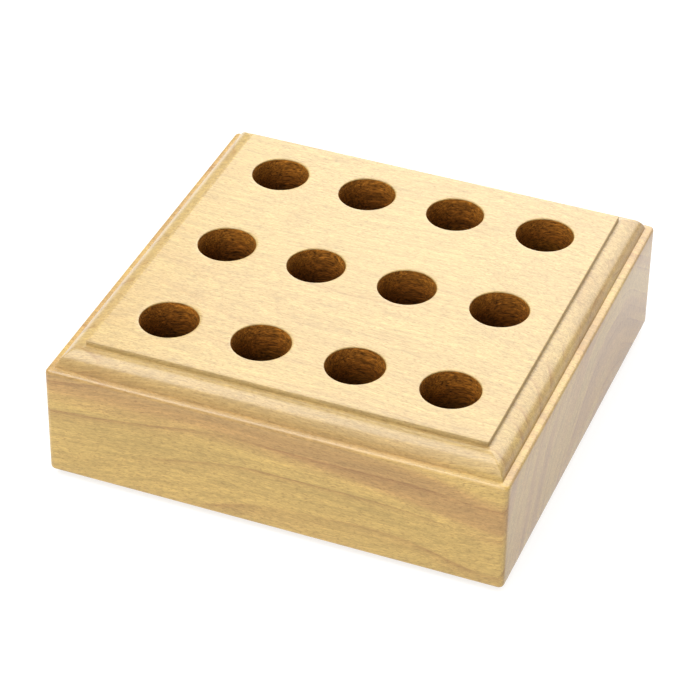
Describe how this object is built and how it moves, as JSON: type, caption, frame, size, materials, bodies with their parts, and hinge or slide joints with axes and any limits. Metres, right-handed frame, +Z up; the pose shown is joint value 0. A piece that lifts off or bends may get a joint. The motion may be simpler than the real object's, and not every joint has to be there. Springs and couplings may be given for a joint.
{
  "type": "tool storage caddy",
  "caption": "Square wooden bench block with a moulded top edge and a grid of blind round holes that hold slim hobby tools such as knives, files and tweezers upright.",
  "frame": {"origin": "on the surface the caddy stands on, under the middle of the block", "axes": "+X along the grain to the right, +Y from front to back, +Z up"},
  "size_m": [0.127, 0.1254, 0.0406],
  "materials": {
    "wood": "clear satin lacquer",
    "felt": "pressed felt"
  },
  "bodies": {
    "root": {"caddy_block": "wood", "foot_front_left": "felt", "foot_front_right": "felt", "foot_rear_left": "felt", "foot_rear_right": "felt"}
  },
  "joints": []
}
